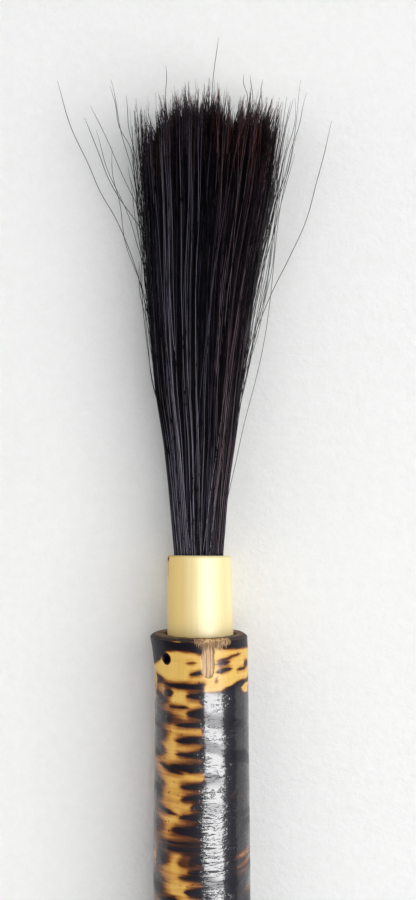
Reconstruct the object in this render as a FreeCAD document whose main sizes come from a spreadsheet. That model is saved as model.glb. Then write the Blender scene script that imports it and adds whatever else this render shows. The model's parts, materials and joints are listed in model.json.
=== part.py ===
import FreeCAD, Part
import Sketcher
import math
import os

# Large calligraphy brush: a burnt bamboo handle, a pale bamboo ferrule and a horsehair tuft.
# Frame: +Y runs along the handle from its butt to the tuft, and +Z is up. The origin is the
# centre of the butt face. The brush lies along Y, as it would on a table. Millimetres.

SIZES = [
    # handle: one bamboo internode, cut through the node at its butt
    ("handle_length", 205.0, "butt face to sanded rim"),
    ("grip_radius", 13.05, "true cylinder of the grip"),
    ("grip_start", 10.0, "butt face to the grip cylinder"),
    ("grip_end", 137.0, "butt face to the end of the grip cylinder"),
    ("node_low", 1.5, "butt face to the node, which is dressed flush with the grip"),
    ("node_high", 5.0, "butt face to the node's upper side"),
    ("groove_radius", 12.75, "sheath scar, a groove above the node"),
    ("groove_place", 7.5, "butt face to the groove"),
    ("butt_radius", 12.3, "flat of the butt face"),
    ("waist_radius", 12.5, "narrowest place, below the mouth"),
    ("waist_drop", 14.5, "rim to waist"),
    ("rim_radius", 13.05, "flare of the mouth"),
    ("rim_shift", 0.85, "the flare's centre lies this far to -X"),
    ("flare_share", 0.3, "half way up the flare, its shift as a share of the rim's"),
    ("flare_radius", 12.6, "half way up the flare"),
    ("rim_bevel", 0.9, "sanded edge of the rim"),
    ("hollow_radius", 9.0, "natural hollow of the internode"),
    ("diaphragm", 7.0, "thickness of the node that closes the butt"),
    ("socket_radius", 9.5, "reamed mouth that takes the ferrule"),
    ("socket_depth", 17.0, "depth of the reamed mouth"),
    ("socket_shift", 0.35, "the socket's centre lies this far to -X"),
    ("side_hole_radius", 1.2, "small round hole in the wall"),
    ("side_hole_drop", 5.0, "rim to the hole's centre"),
    ("side_hole_turn", 42.0, "degrees from the top towards -X"),
    ("scar_half_width", 1.7, "bud scar below the rim"),
    ("scar_length", 9.8, "rim to the scar's rounded end"),
    ("scar_depth", 0.5, "half thickness of the ellipsoid that cuts the scar"),
    ("scar_raise", 0.1, "the ellipsoid's centre lies this far inside the rim's radius"),
    ("scar_shift", 0.68, "the ellipsoid's centre lies this far to -X"),
    ("scar_turn", 8.4, "degrees from the top towards +X"),
    # ferrule: a smaller bamboo tube
    ("ferrule_visible", 20.8, "rim of the handle to the ferrule's mouth"),
    ("ferrule_inside", 15.0, "length hidden in the socket"),
    ("ferrule_radius", 8.88, "outside, at the handle's rim"),
    ("ferrule_mouth_radius", 8.65, "outside, at the mouth"),
    ("ferrule_bore", 6.85, "bore that holds the tuft"),
    ("ferrule_lean", 1.0, "degrees that the ferrule leans to -X"),
    ("mouth_slant", 4.0, "degrees: the mouth's top side stands further out"),
    ("mouth_round", 0.7, "rounded outer edge of the mouth"),
    ("glue_recess", 0.7, "the glue stops this far below the handle's rim"),
    ("joint_gap", 0.03, "gap left between glued pieces"),
    ("overrun", 1.0, "how far a cutting shape reaches past what it cuts"),
    # root of the tuft, in the ferrule's bore
    ("plug_top", 7.2, "mouth to the plug's top"),
    ("plug_length", 12.0, "rosin plug"),
    ("plug_radius", 6.2, "rosin plug"),
    ("thread_radius", 0.2, "binding thread"),
    ("thread_pitch", 0.9, "from one turn to the next"),
    ("thread_start", 2.0, "plug's top to the first turn"),
    ("seat_thickness", 1.6, "glue pad under the plug"),
    # tuft: the free hairs turn about the centre of the ferrule's mouth
    ("bend_ball", 6.5, "rounded root of the free hairs, which turns in the bore"),
    ("bend_cone", 48.0, "degrees: half angle that keeps the bent tuft off the ferrule"),
    ("bend_cone_length", 200.0, "longer than the tuft"),
    ("table_level", 13.2, "the tuft's underside is flattened this far below the handle's axis"),
    ("table_reach", 160.0, "the flattening shape's length and width"),
    ("core_share", 0.45, "core's width as a share of the tuft's"),
    ("padding_share", 0.72, "padding's width as a share of the tuft's"),
    ("core_length", 121.0, "mouth to the core's tips"),
    ("padding_length", 90.0, "mouth to the padding's tips"),
    ("hair_radius", 0.12, "a single stray hair"),
]

# The tuft's outline at stations along it: distance from the mouth, centre in X, half width,
# centre in Z and half height. It fans out, leans to +X and settles flat on the table.
STATIONS = [
    (0.0, -0.1, 6.6, 0.0, 6.55),
    (28.0, -0.2, 9.5, -0.4, 9.1),
    (69.0, 0.0, 14.0, -1.4, 12.6),
    (96.0, 2.3, 16.6, -1.4, 13.0),
    (124.0, 3.6, 18.4, -1.2, 13.2),
]
STATION_FIELDS = ("reach", "centre_x", "half_width", "centre_z", "half_height")
BINDING_TURNS = 6

# Stray hairs, as points from the centre of the ferrule's mouth: across, along and up.
STRAYS = {
    "far_left": [(-16.2, 71, -9), (-20.6, 83, -9.6), (-26.2, 94, -10), (-31.0, 106, -9.6),
                 (-35.2, 117, -9), (-38.6, 129, -8.6)],
    "near_left": [(-17.2, 90, -6), (-21.4, 96, -6), (-25.6, 104, -5.6), (-29.2, 113.5, -5),
                  (-32.0, 122, -4.6)],
    "far_right": [(16.6, 62, -9), (20.3, 73, -9.4), (25.4, 84, -9.8), (29.4, 96, -9.6), (32.2, 108, -9),
                  (35.8, 119, -8.4)],
}

# turns a shape's own Z axis to the frame's +Y
ALONG_Y = FreeCAD.Rotation(FreeCAD.Vector(1, 0, 0), -90)

doc = FreeCAD.newDocument("calligraphy_brush")


def make_sheet():
    """Put every driving dimension in one spreadsheet, with an alias each."""
    sheet = doc.addObject("Spreadsheet::Sheet", "sizes")
    rows = list(SIZES)
    for number, station in enumerate(STATIONS):
        for field, value in zip(STATION_FIELDS, station):
            rows.append((f"tuft_{field}_at_{number}", value, f"tuft station {number}"))
    for row, (alias, value, note) in enumerate(rows, start=1):
        sheet.set(f"A{row}", alias)
        sheet.set(f"B{row}", str(value))
        sheet.setAlias(f"B{row}", alias)
        sheet.set(f"C{row}", note)
    doc.recompute()
    return sheet


sheet = make_sheet()


def size(alias):
    """Read one driving dimension back from the sheet."""
    return float(getattr(sheet, alias))


def sheet_value(text):
    """Work out an expression of sheet cells, such as 'sizes.handle_length - sizes.rim_bevel'."""
    return float(sheet.evalExpression(text))


def bind(thing, **expressions):
    """Bind properties to cells; a double underscore in a name stands for a dot."""
    for prop, expression in expressions.items():
        thing.setExpression(prop.replace("__", "."), expression)


def origin_plane(body, role):
    """Find one of a body's own origin planes."""
    return next(plane for plane in body.Origin.OriginFeatures if plane.Role == role)


def new_sketch(body, name, role):
    """Add an empty sketch on one of the body's origin planes."""
    sketch = body.newObject("Sketcher::SketchObject", name)
    sketch.AttachmentSupport = [(origin_plane(body, role), "")]
    sketch.MapMode = "FlatFace"
    return sketch


def draw_outline(sketch, corners):
    """Draw a closed outline of straight sides whose corners are pairs of expressions."""
    values = [tuple(sheet_value(text) for text in corner) for corner in corners]
    last = len(values) - 1
    for index, (x, y) in enumerate(values):
        ahead = values[0 if index == last else index + 1]
        sketch.addGeometry(Part.LineSegment(FreeCAD.Vector(x, y, 0), FreeCAD.Vector(*ahead, 0)))
    for index in range(len(values)):
        after = 0 if index == last else index + 1
        sketch.addConstraint(Sketcher.Constraint("Coincident", index, 2, after, 1))
    for index, corner in enumerate(corners):
        for kind, axis, text, value in zip(("DistanceX", "DistanceY"), (-2, -1), corner, values[index]):
            if text == "0":
                sketch.addConstraint(Sketcher.Constraint("PointOnObject", index, 1, axis))
            else:
                number = sketch.addConstraint(Sketcher.Constraint(kind, -1, 1, index, 1, value))
                sketch.setExpression(f"Constraints[{number}]", text)


def revolve(body, name, sketch):
    """Turn a sketch about the body's Y axis."""
    turned = body.newObject("PartDesign::Revolution", name)
    turned.Profile = sketch
    turned.ReferenceAxis = (sketch, ["V_Axis"])
    turned.Angle = 360
    return turned


def cylinder_cut(body, name, radius, height, rotation, **place):
    """Cut a cylinder out of a body, with its sizes and its place bound to the sheet."""
    cut = body.newObject("PartDesign::SubtractiveCylinder", name)
    cut.Placement = FreeCAD.Placement(FreeCAD.Vector(0, 0, 0), rotation)
    bind(cut, Radius=radius, Height=height, **place)
    return cut


def circle_sketch(body, name, radius, centre_x, height):
    """A circle across the Y axis, at a height along it."""
    sketch = new_sketch(body, name, "XZ_Plane")
    # the plane's own normal points to -Y
    bind(sketch, AttachmentOffset__Base__z=f"-({height})", AttachmentOffset__Base__x=centre_x)
    sketch.addGeometry(Part.Circle(FreeCAD.Vector(0, 0, 0), FreeCAD.Vector(0, 0, 1), sheet_value(radius)))
    sketch.addConstraint(Sketcher.Constraint("Coincident", 0, 3, -1, 1))
    number = sketch.addConstraint(Sketcher.Constraint("Radius", 0, sheet_value(radius)))
    sketch.setExpression(f"Constraints[{number}]", radius)
    return sketch


def make_handle():
    """Bamboo culm: a grip cylinder, a node at the butt, a waist and an off-centre flared mouth."""
    body = doc.addObject("PartDesign::Body", "handle_culm")
    outline = new_sketch(body, "culm_outline", "XY_Plane")
    waist = "sizes.handle_length - sizes.waist_drop"
    draw_outline(outline, [
        ("0", "0"),
        ("sizes.butt_radius", "0"),
        ("sizes.grip_radius", "sizes.node_low"),
        ("sizes.grip_radius", "sizes.node_high"),
        ("sizes.groove_radius", "sizes.groove_place"),
        ("sizes.grip_radius", "sizes.grip_start"),
        ("sizes.grip_radius", "sizes.grip_end"),
        ("sizes.waist_radius", waist),
        ("0", waist),
    ])
    revolve(body, "culm_turned", outline)
    flare = body.newObject("PartDesign::AdditiveLoft", "flare")
    flare.Profile = circle_sketch(body, "waist_ring", "sizes.waist_radius", "0", waist)
    flare.Sections = [
        circle_sketch(body, "flare_ring", "sizes.flare_radius", "-sizes.flare_share * sizes.rim_shift",
                      "sizes.handle_length - sizes.waist_drop * 0.5"),
        circle_sketch(body, "rim_ring", "sizes.rim_radius", "-sizes.rim_shift", "sizes.handle_length"),
    ]
    doc.recompute()
    bevel = body.newObject("PartDesign::Chamfer", "rim_bevel")
    top = size("handle_length")
    edges = [f"Edge{n}" for n, edge in enumerate(flare.Shape.Edges, start=1)
             if all(abs(v.Point.y - top) < 1e-6 for v in edge.Vertexes) and len(edge.Vertexes) == 1]
    bevel.Base = (flare, edges)
    bind(bevel, Size="sizes.rim_bevel")
    doc.recompute()
    cylinder_cut(body, "hollow", "sizes.hollow_radius",
                 "sizes.handle_length - sizes.diaphragm - sizes.socket_depth * 0.5", ALONG_Y,
                 Placement__Base__y="sizes.diaphragm")
    cylinder_cut(body, "socket", "sizes.socket_radius", "sizes.socket_depth + sizes.overrun", ALONG_Y,
                 Placement__Base__x="-sizes.socket_shift",
                 Placement__Base__y="sizes.handle_length - sizes.socket_depth")
    outward = FreeCAD.Rotation(FreeCAD.Vector(0, 1, 0), -size("side_hole_turn"))
    cylinder_cut(body, "side_hole", "sizes.side_hole_radius",
                 "sizes.rim_radius + sizes.rim_shift + sizes.overrun", outward,
                 Placement__Base__y="sizes.handle_length - sizes.side_hole_drop")
    doc.recompute()
    scar = body.newObject("PartDesign::SubtractiveEllipsoid", "bud_scar")
    angle = math.radians(size("scar_turn"))
    reach = size("rim_radius") - size("scar_raise")
    scar.Placement = FreeCAD.Placement(
        FreeCAD.Vector(reach * math.sin(angle) - size("scar_shift"), 0, reach * math.cos(angle)),
        FreeCAD.Rotation(FreeCAD.Vector(0, 1, 0), size("scar_turn")))
    bind(scar, Radius1="sizes.scar_depth", Radius2="sizes.scar_half_width", Radius3="sizes.scar_length",
         Placement__Base__y="sizes.handle_length")
    return body


def ferrule_placement():
    """The ferrule leans a little to -X about the centre of the handle's socket."""
    return FreeCAD.Placement(FreeCAD.Vector(-size("socket_shift"), size("handle_length"), 0),
                             FreeCAD.Rotation(FreeCAD.Vector(0, 0, 1), size("ferrule_lean")))


def mouth_placement():
    """The centre of the ferrule's mouth, which the free hairs turn about."""
    centre = ferrule_placement().multVec(FreeCAD.Vector(0, size("ferrule_visible"), 0))
    return FreeCAD.Placement(centre, FreeCAD.Rotation())


def make_ferrule():
    """Bamboo tube with a slightly tapered outside and a slanted, rounded mouth."""
    body = doc.addObject("PartDesign::Body", "ferrule")
    outline = new_sketch(body, "tube_outline", "XY_Plane")
    # it is drawn from its inner end, and moved down into the socket by its placement
    above = "sizes.ferrule_inside + sizes.ferrule_visible"
    draw_outline(outline, [
        ("sizes.ferrule_bore", "0"),
        ("sizes.ferrule_radius", "0"),
        ("sizes.ferrule_radius", "sizes.ferrule_inside"),
        ("sizes.ferrule_mouth_radius", f"{above} + sizes.overrun"),
        ("sizes.ferrule_bore", f"{above} + sizes.overrun"),
    ])
    revolve(body, "tube_turned", outline)
    slant = body.newObject("PartDesign::SubtractiveBox", "mouth_slant")
    half = size("ferrule_radius") + 2 * size("overrun")
    tilt = FreeCAD.Rotation(FreeCAD.Vector(1, 0, 0), size("mouth_slant"))
    middle = FreeCAD.Vector(0, size("ferrule_inside") + size("ferrule_visible"), 0)
    slant.Placement = FreeCAD.Placement(middle + tilt.multVec(FreeCAD.Vector(-half, 0, -half)), tilt)
    across = "2 * (sizes.ferrule_radius + 2 * sizes.overrun)"
    bind(slant, Length=across, Width="4 * sizes.overrun", Height=across)
    doc.recompute()
    edges = []
    for number, edge in enumerate(slant.Shape.Edges, start=1):
        outside = edge.BoundBox.XLength > size("ferrule_bore") + size("ferrule_mouth_radius")
        if outside and edge.BoundBox.YMin > size("ferrule_inside") + size("overrun"):
            edges.append(f"Edge{number}")
    rounded = body.newObject("PartDesign::Fillet", "mouth_round")
    rounded.Base = (slant, edges)
    bind(rounded, Radius="sizes.mouth_round")
    seat = ferrule_placement()
    body.Placement = seat.multiply(FreeCAD.Placement(FreeCAD.Vector(0, -size("ferrule_inside"), 0),
                                                     FreeCAD.Rotation()))
    return body


def part_cylinder(name, radius, height, place):
    """A Part cylinder along +Y of the given placement."""
    shape = doc.addObject("Part::Cylinder", name)
    shape.Placement = place.multiply(FreeCAD.Placement(FreeCAD.Vector(), ALONG_Y))
    bind(shape, Radius=radius, Height=height)
    return shape


def boolean(kind, name, base, tool):
    """A Part::Cut, Part::Fuse or Part::Common of two shapes."""
    result = doc.addObject(f"Part::{kind}", name)
    result.Base = base
    result.Tool = tool
    return result


def make_ferrule_glue():
    """Glue that fills the gap between the ferrule and the socket."""
    low = FreeCAD.Vector(-size("socket_shift"), size("handle_length") - size("ferrule_inside"), 0)
    filled = part_cylinder("glue_filled", "sizes.socket_radius - sizes.joint_gap",
                           "sizes.ferrule_inside - sizes.glue_recess",
                           FreeCAD.Placement(low, FreeCAD.Rotation()))
    start = ferrule_placement().multiply(
        FreeCAD.Placement(FreeCAD.Vector(0, -size("ferrule_inside") - size("overrun"), 0),
                          FreeCAD.Rotation()))
    core = part_cylinder("glue_core", "sizes.ferrule_radius + sizes.joint_gap",
                         "sizes.ferrule_inside + 3 * sizes.overrun", start)
    return boolean("Cut", "ferrule_glue", filled, core)


def below_mouth(depth):
    """A placement on the ferrule's axis, this far down from its mouth."""
    return ferrule_placement().multiply(
        FreeCAD.Placement(FreeCAD.Vector(0, size("ferrule_visible") - depth, 0), FreeCAD.Rotation()))


def make_root_plug():
    """Hair roots seared together with rosin."""
    return part_cylinder("rosin_root_plug", "sizes.plug_radius", "sizes.plug_length",
                         below_mouth(size("plug_top") + size("plug_length")))


def make_seat_glue():
    """Glue pad between the plug and the bore's lower end."""
    return part_cylinder("seat_glue", "sizes.ferrule_bore - sizes.joint_gap", "sizes.seat_thickness",
                         below_mouth(size("plug_top") + size("plug_length") + size("seat_thickness")
                                     + size("joint_gap")))


def make_binding_thread():
    """Turns of thread round the plug, one beside the other."""
    turns = []
    for number in range(BINDING_TURNS):
        ring = doc.addObject("Part::Torus", f"thread_turn_{number}")
        depth = size("plug_top") + size("thread_start") + number * size("thread_pitch")
        ring.Placement = below_mouth(depth).multiply(FreeCAD.Placement(FreeCAD.Vector(), ALONG_Y))
        bind(ring, Radius1="sizes.plug_radius + sizes.thread_radius + sizes.joint_gap",
             Radius2="sizes.thread_radius")
        turns.append(ring)
    thread = doc.addObject("Part::Compound", "root_binding_thread")
    thread.Links = turns
    return thread


def tuft_loft(name, share, length):
    """Loft of ellipses through the tuft's stations, to a share of its width, up to a length."""
    rings = []
    base = mouth_placement().Base
    for number, station in enumerate(STATIONS):
        before = STATIONS[number - 1][0] if number else 0.0
        if before >= length:
            break
        ring = doc.addObject("Part::Ellipse", f"{name}_ring_{number}")
        reach = min(station[0], length)
        centre = base + FreeCAD.Vector(0, reach, 0)
        ring.Placement = FreeCAD.Placement(centre, FreeCAD.Rotation(FreeCAD.Vector(1, 0, 0), 90))
        bind(ring,
             MajorRadius=f"sizes.tuft_half_width_at_{number} * {share}",
             MinorRadius=f"sizes.tuft_half_height_at_{number} * {share}",
             Placement__Base__x=f"{base.x} + sizes.tuft_centre_x_at_{number}",
             Placement__Base__z=f"{base.z} + sizes.tuft_centre_z_at_{number}")
        rings.append(ring)
    loft = doc.addObject("Part::Loft", name)
    loft.Sections = rings
    loft.Solid = True
    loft.Ruled = False
    return loft


def make_tuft():
    """Core, padding and mantle, one inside the other, with a rounded root that turns in the bore."""
    centre = mouth_placement()
    ball = doc.addObject("Part::Sphere", "root_ball")
    ball.Placement = centre
    bind(ball, Radius="sizes.bend_ball")
    cone = doc.addObject("Part::Cone", "bend_room")
    cone.Placement = centre.multiply(FreeCAD.Placement(FreeCAD.Vector(), ALONG_Y))
    bind(cone, Radius1="0", Radius2="sizes.bend_cone_length * tan(sizes.bend_cone * 1 deg)",
         Height="sizes.bend_cone_length")
    core_loft = tuft_loft("core_loft", "sizes.core_share", size("core_length"))
    core = boolean("Fuse", "tuft_core", core_loft, ball)
    padding_loft = tuft_loft("padding_loft", "sizes.padding_share", size("padding_length"))
    padding_room = boolean("Common", "padding_room", padding_loft, cone)
    padding = boolean("Cut", "tuft_padding", padding_room, core)
    mantle_loft = tuft_loft("mantle_loft", "1", STATIONS[-1][0])
    mantle_room = boolean("Common", "mantle_room", mantle_loft, cone)
    mantle_hollow = boolean("Cut", "mantle_hollow", mantle_room, padding_loft)
    mantle_round = boolean("Cut", "mantle_round", mantle_hollow, core)
    mantle = boolean("Cut", "tuft_mantle", mantle_round, table_below_tuft(centre.Base))
    return [core, padding, mantle]


def table_below_tuft(mouth):
    """The table that the tuft's underside lies flat on."""
    table = doc.addObject("Part::Box", "table_below_tuft")
    bind(table, Length="sizes.table_reach", Width="sizes.table_reach", Height="sizes.table_level",
         Placement__Base__x="-sizes.table_reach * 0.5",
         Placement__Base__y=f"{mouth.y}",
         Placement__Base__z="-2 * sizes.table_level")
    return table


def rounded_wire(points):
    """Straight runs through the points, joined by tangent arcs."""
    edges = []
    start = points[0]
    for before, corner, after in zip(points, points[1:], points[2:]):
        back, ahead = before - corner, after - corner
        run = min(back.Length, ahead.Length)
        back.normalize()
        ahead.normalize()
        trim = 0.45 * run
        half = back.getAngle(ahead) / 2
        bisector = back + ahead
        bisector.normalize()
        radius = trim * math.tan(half)
        middle = corner + bisector * (trim / math.cos(half) - radius)
        arc_start, arc_end = corner + back * trim, corner + ahead * trim
        edges.append(Part.LineSegment(start, arc_start).toShape())
        edges.append(Part.Arc(arc_start, middle, arc_end).toShape())
        start = arc_end
    edges.append(Part.LineSegment(start, points[-1]).toShape())
    return Part.Wire(edges)


def make_stray_hairs():
    """Thin swept hairs beside the tuft; a sweep along runs and arcs suits no body or primitive."""
    hairs = []
    for points in STRAYS.values():
        path = rounded_wire([mouth_placement().multVec(FreeCAD.Vector(*point)) for point in points])
        first = path.Edges[0]
        root, along = first.valueAt(first.FirstParameter), first.tangentAt(first.FirstParameter)
        section = Part.Wire(Part.Circle(root, along, size("hair_radius")).toShape())
        hair = path.makePipeShell([section], True, True)
        expected = math.pi * size("hair_radius") ** 2 * path.Length
        assert abs(hair.Volume - expected) < 0.02 * expected, "a stray hair's sweep has the wrong volume"
        hairs.append(hair)
    feature = doc.addObject("Part::Feature", "stray_hairs")
    feature.Shape = Part.makeCompound(hairs)
    return feature


def write_parts(nodes):
    """Check every object and every node, then write one STEP file per node."""
    doc.recompute()
    for thing in doc.Objects:
        broken = {"Invalid", "Error"} & set(thing.State)
        assert not broken, f"{thing.Name} is {thing.State}"
    os.makedirs("parts", exist_ok=True)
    for node in nodes:
        shape = node.Shape
        assert not shape.isNull() and shape.isValid() and shape.Solids, f"{node.Label} has a bad shape"
        box = shape.optimalBoundingBox(False)
        print(node.Label, len(shape.Solids), "solids", round(shape.Volume, 1), "mm3", box)
    for node in nodes:
        node.Shape.exportStep(os.path.join("parts", f"{node.Label}.step"))


write_parts([
    make_handle(),
    make_ferrule(),
    make_ferrule_glue(),
    make_root_plug(),
    make_seat_glue(),
    make_binding_thread(),
    *make_tuft(),
    make_stray_hairs(),
])
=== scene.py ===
import json
import math

import bmesh
import bpy
import numpy as np
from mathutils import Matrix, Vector


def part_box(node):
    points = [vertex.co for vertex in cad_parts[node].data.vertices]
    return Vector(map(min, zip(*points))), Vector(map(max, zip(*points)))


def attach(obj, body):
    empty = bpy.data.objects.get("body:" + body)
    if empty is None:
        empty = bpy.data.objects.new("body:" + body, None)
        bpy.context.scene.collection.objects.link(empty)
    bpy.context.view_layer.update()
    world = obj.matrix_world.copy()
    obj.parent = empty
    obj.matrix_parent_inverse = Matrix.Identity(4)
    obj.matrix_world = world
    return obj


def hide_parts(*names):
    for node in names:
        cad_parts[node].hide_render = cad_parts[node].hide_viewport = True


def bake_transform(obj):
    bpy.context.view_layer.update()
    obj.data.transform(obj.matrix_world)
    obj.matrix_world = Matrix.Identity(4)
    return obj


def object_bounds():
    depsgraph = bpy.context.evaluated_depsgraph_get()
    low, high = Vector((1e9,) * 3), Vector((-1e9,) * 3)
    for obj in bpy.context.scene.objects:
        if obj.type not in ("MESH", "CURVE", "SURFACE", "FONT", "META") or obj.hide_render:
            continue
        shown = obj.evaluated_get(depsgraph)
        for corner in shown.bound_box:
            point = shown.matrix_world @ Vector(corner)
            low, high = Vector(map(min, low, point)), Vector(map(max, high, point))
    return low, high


# A large calligraphy brush lying on paper: burnt bamboo handle, pale bamboo ferrule, horsehair tuft.
# Everything is in metres in the frame's axes: +Y from the butt to the tuft, +Z up.

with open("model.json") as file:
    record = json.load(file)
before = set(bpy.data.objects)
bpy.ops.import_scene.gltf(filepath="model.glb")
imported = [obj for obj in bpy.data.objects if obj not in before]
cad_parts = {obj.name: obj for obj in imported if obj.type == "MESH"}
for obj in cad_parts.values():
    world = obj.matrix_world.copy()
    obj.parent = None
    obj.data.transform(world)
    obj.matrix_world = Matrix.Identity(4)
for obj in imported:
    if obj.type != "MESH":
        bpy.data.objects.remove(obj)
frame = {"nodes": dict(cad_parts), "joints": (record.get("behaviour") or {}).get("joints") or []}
cad_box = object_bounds()

MM = 0.001
MOUTH = Vector(frame["joints"][0]["pos_m"])
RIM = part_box("handle_culm")[1].y
FLOOR = cad_box[0].z


# ---- numbers and meshes

def smooth(low, high, value):
    """0 below low, 1 above high, with a smooth rise between; low may be the larger one."""
    t = np.clip((np.asarray(value, float) - low) / (high - low), 0, 1)
    return t * t * (3 - 2 * t)


def waves(seed, count, around, along):
    """A smooth random function of an angle in radians and a length in millimetres, about -1 to 1.
    around is the most waves in a turn, and along the most waves in 100 mm."""
    rng = np.random.default_rng(seed)
    turns = rng.integers(-around, around + 1, count)
    rates = rng.uniform(-along, along, count) * 2 * math.pi / 100
    phases = rng.uniform(0, 2 * math.pi, count)

    def value(angle, length):
        total = 0
        for turn, rate, phase in zip(turns, rates, phases):
            total = total + np.sin(turn * angle + rate * length + phase)
        return total / math.sqrt(count)

    return value


def mesh_piece(name, vertices, faces, materials=(), face_slots=None):
    """A smooth mesh object from a list of places and a list of faces of any size."""
    mesh = bpy.data.meshes.new(name)
    mesh.from_pydata(np.asarray(vertices).tolist(), [], faces)
    for material in materials:
        mesh.materials.append(material)
    if face_slots is not None:
        mesh.polygons.foreach_set("material_index", np.asarray(face_slots, np.int32))
    mesh.polygons.foreach_set("use_smooth", np.full(len(mesh.polygons), True))
    mesh.update()
    piece = bpy.data.objects.new(name, mesh)
    bpy.context.scene.collection.objects.link(piece)
    return piece


def grid_faces(rows, columns):
    """Quads of a grid that closes round its columns."""
    row, column = np.meshgrid(np.arange(rows - 1), np.arange(columns), indexing="ij")
    after = (column + 1) % columns
    quads = np.stack([row * columns + column, row * columns + after,
                      (row + 1) * columns + after, (row + 1) * columns + column], -1)
    return quads.reshape(-1, 4)


def ring_faces(rows, columns):
    """Quads of a grid that closes round its columns, and from its last row back to its first."""
    first = np.arange(columns)
    after = (first + 1) % columns
    last = (rows - 1) * columns
    foot = np.stack([last + first, last + after, after, first], -1)
    return np.vstack([grid_faces(rows, columns), foot])


def capped_faces(rows, columns):
    """Faces of a grid that closes round its columns, with one flat face at each end."""
    total = rows * columns
    caps = [list(range(columns))[::-1], list(range(total - columns, total))]
    return grid_faces(rows, columns).tolist() + caps


def steps(count, after=0):
    """A column of even steps up to 1, or to just under 1 where more rows come after them."""
    return (np.arange(count)[:, None] + 1) / (count + after)


def turned_piece(name, places, materials, row_slots):
    """A closed shape of rows of places round the Y axis; fans onto their middles close the first
    and last rows."""
    rows, columns, _ = places.shape
    vertices = places.reshape(-1, 3)
    faces = grid_faces(rows, columns)[:, ::-1].tolist()
    slots = np.repeat(row_slots[:rows - 1], columns).tolist()
    for ring, flip in ((0, False), (rows - 1, True)):
        centre = len(vertices)
        vertices = np.vstack([vertices, places[ring].mean(0)])
        for column in range(columns):
            here, after = ring * columns + column, ring * columns + (column + 1) % columns
            faces.append([centre, after, here] if flip else [centre, here, after])
            slots.append(row_slots[min(ring, rows - 2)])
    return mesh_piece(name, vertices, faces, materials, slots)


def face_outwards(mesh):
    """Turn every face of a closed mesh outwards."""
    shape = bmesh.new()
    shape.from_mesh(mesh)
    bmesh.ops.recalc_face_normals(shape, faces=shape.faces)
    shape.to_mesh(mesh)
    shape.free()


def store_number(mesh, key, values):
    """Keep a number at each vertex of a mesh."""
    layer = mesh.attributes.new(key, "FLOAT", "POINT")
    layer.data.foreach_set("value", np.asarray(values, np.float32).ravel())


def places_of(parts, key):
    """The places of a mesh's vertices, or the centres of its faces."""
    places = np.empty(len(parts) * 3)
    parts.foreach_get(key, places)
    return places.reshape(-1, 3)


def add_numbers(piece, **numbers):
    """Work out named numbers at the vertices of a finished mesh."""
    places = places_of(piece.data.vertices, "co")
    for key, rule in numbers.items():
        store_number(piece.data, key, rule(places))


def strands(name, paths, radii, shades, material, sides=3):
    """Many thin closed tubes as one mesh. paths is strands x points x 3, radii strands x points.
    Each vertex knows how far along its strand it is, reach, and its strand's own shade."""
    count, points, _ = paths.shape
    along = np.gradient(paths, axis=1)
    along /= np.linalg.norm(along, axis=2, keepdims=True)
    across = np.cross(along, (0.0, 0.0, 1.0))
    across /= np.linalg.norm(across, axis=2, keepdims=True)
    upward = np.cross(across, along)
    angle = np.arange(sides) * 2 * math.pi / sides + math.pi / 2
    ring = (across[:, :, None] * np.cos(angle)[:, None] + upward[:, :, None] * np.sin(angle)[:, None])
    vertices = (paths[:, :, None] + radii[:, :, None, None] * ring).reshape(-1, 3)
    strand, point, side = np.meshgrid(np.arange(count), np.arange(points - 1), np.arange(sides),
                                      indexing="ij")
    start = (strand * points + point) * sides
    after = (side + 1) % sides
    quads = np.stack([start + side, start + after, start + sides + after, start + sides + side], -1)
    faces = quads.reshape(-1, 4).tolist()
    root = np.arange(count)[:, None] * points * sides + np.arange(sides)
    tip = root + (points - 1) * sides
    faces += root[:, ::-1].tolist() + tip.tolist()
    reach = np.broadcast_to(np.linspace(0, 1, points)[None, :, None], (count, points, sides))
    shade = np.broadcast_to(shades[:, None, None], (count, points, sides))
    piece = mesh_piece(name, vertices, faces, [material])
    store_number(piece.data, "reach", reach)
    store_number(piece.data, "shade", shade)
    return piece


# ---- material helpers

def srgb(red, green, blue):
    """A colour from 0 to 255 on the screen, as the shader's linear colour."""
    linear = [c / 255 / 12.92 if c / 255 <= 0.04045 else ((c / 255 + 0.055) / 1.055) ** 2.4
              for c in (red, green, blue)]
    return (*linear, 1.0)


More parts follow.
